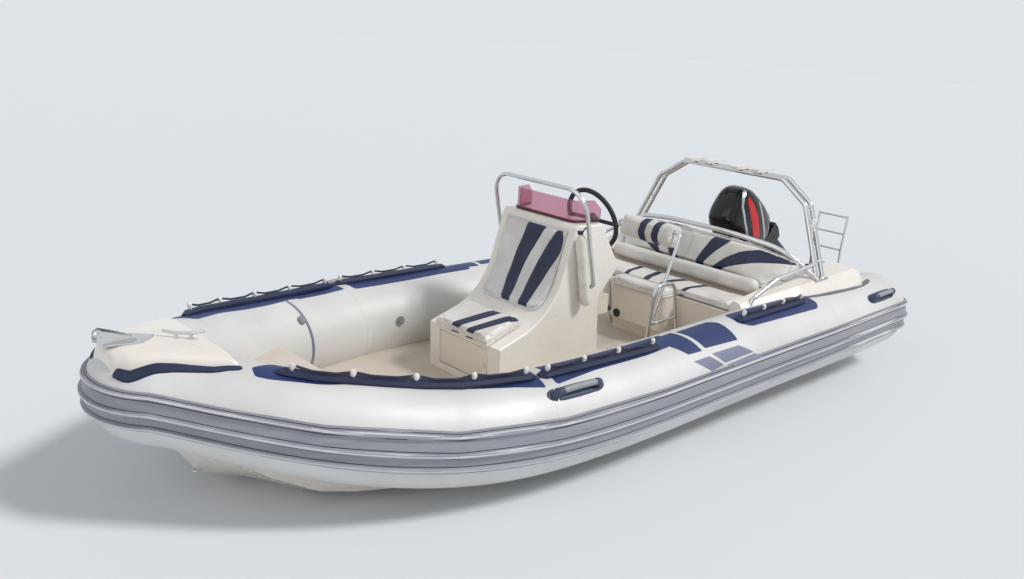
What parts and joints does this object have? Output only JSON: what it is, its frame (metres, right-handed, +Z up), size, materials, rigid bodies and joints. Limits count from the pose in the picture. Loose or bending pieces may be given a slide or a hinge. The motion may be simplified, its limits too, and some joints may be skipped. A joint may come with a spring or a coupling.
{
  "type": "rigid inflatable boat",
  "caption": "Rigid inflatable boat with moulded hull, air tubes, helm console, stern bench, radar arch and a tilting outboard engine.",
  "frame": {"origin": "amidships on the centre line, at the waterline when the boat floats at rest", "axes": "+X to the bow, +Y to port, +Z up"},
  "size_m": [6.0432, 2.3306, 1.5578],
  "materials": {
    "tube_fabric": "satin",
    "strake_rubber": "satin",
    "white_gelcoat": "gloss",
    "cream_gelcoat": "gloss",
    "navy_rubber": "satin",
    "black_rope": "matt",
    "grey_vinyl": "satin",
    "steel": "polished",
    "screen_tint": "clear",
    "dark_plastic": "matt",
    "white_plastic": "satin",
    "engine_black": "gloss",
    "engine_grey": "satin",
    "wheel_rim": "satin",
    "alloy": "satin"
  },
  "bodies": {
    "boat": {"tube_port": "tube_fabric", "tube_starboard": "tube_fabric", "tube_bow": "tube_fabric", "strake_port": "strake_rubber", "strake_starboard": "strake_rubber", "strake_nose": "strake_rubber", "hull": "white_gelcoat", "deck": "cream_gelcoat", "transom": "white_gelcoat", "side_mouldings": "white_gelcoat", "bow_moulding": "white_gelcoat", "bow_roller": "steel", "bow_cleat": "steel", "bow_eye": "steel", "grab_pads": "navy_rubber", "rope_hooks": "dark_plastic", "lifelines": "black_rope", "carry_handles": "dark_plastic", "valves": "dark_plastic", "console": "white_gelcoat", "front_cushion": "grey_vinyl", "console_pad": "grey_vinyl", "windscreen": "screen_tint", "screen_trim": "dark_plastic", "console_rail": "steel", "helm_housing": "dark_plastic", "throttle_control": "dark_plastic", "fender": "white_plastic", "seat_box": "cream_gelcoat", "driver_cushion": "grey_vinyl", "seat_hoops": "steel", "bench": "cream_gelcoat", "bench_cushion": "grey_vinyl", "bench_roll": "grey_vinyl", "bench_backrest": "grey_vinyl", "bench_rail": "steel", "arch": "steel", "arch_pads": "white_plastic", "grab_rails": "steel", "ladder_brackets": "alloy", "clamp_bracket": "engine_grey"},
    "tilt_arm": {"swivel_bracket": "engine_grey"},
    "engine": {"engine_cowl": "engine_black", "midsection": "engine_black", "gearcase": "engine_black"},
    "screw": {"propeller": "alloy"},
    "helm": {"steering_wheel": "wheel_rim"},
    "seat_back": {"backrest_frame": "steel", "backrest_roll": "grey_vinyl"},
    "door": {"locker_door": "cream_gelcoat"},
    "ladder": {"boarding_ladder": "steel"}
  },
  "joints": [
    {"name": "engine_tilt", "type": "hinge", "parent": "boat", "child": "tilt_arm", "pos_m": [-2.275, 0, 0.55], "axis": [0, 1, 0], "range_deg": [-51, 11]},
    {"name": "engine_steer", "type": "hinge", "parent": "tilt_arm", "child": "engine", "pos_m": [-2.3222, 0, 0.60829], "axis": [0.7771, 0, 0.6293], "range_deg": [-30, 30]},
    {"name": "propeller_spin", "type": "hinge", "parent": "engine", "child": "screw", "pos_m": [-3.19537, 0, 0.31683], "axis": [0.6293, 0, -0.7771], "continuous": true},
    {"name": "helm_turn", "type": "hinge", "parent": "boat", "child": "helm", "pos_m": [-0.316, 0.031, 1.088], "axis": [-0.9397, 0, 0.3419], "range_deg": [-541, 541]},
    {"name": "backrest_flip", "type": "hinge", "parent": "boat", "child": "seat_back", "pos_m": [-0.716, 0, 0.421], "axis": [0, -1, 0], "range_deg": [-30, 30]},
    {"name": "locker_door_swing", "type": "hinge", "parent": "boat", "child": "door", "pos_m": [0.642, -0.209, 0.365], "axis": [0, 0, -1], "range_deg": [0, 100]},
    {"name": "ladder_fold", "type": "hinge", "parent": "boat", "child": "ladder", "pos_m": [-2.285, 0.54, 0.62], "axis": [0, -1, 0], "range_deg": [0, 90]}
  ],
  "couplings": [
    {"joint": "helm_turn", "follows": "engine_steer", "ratio": -18}
  ]
}
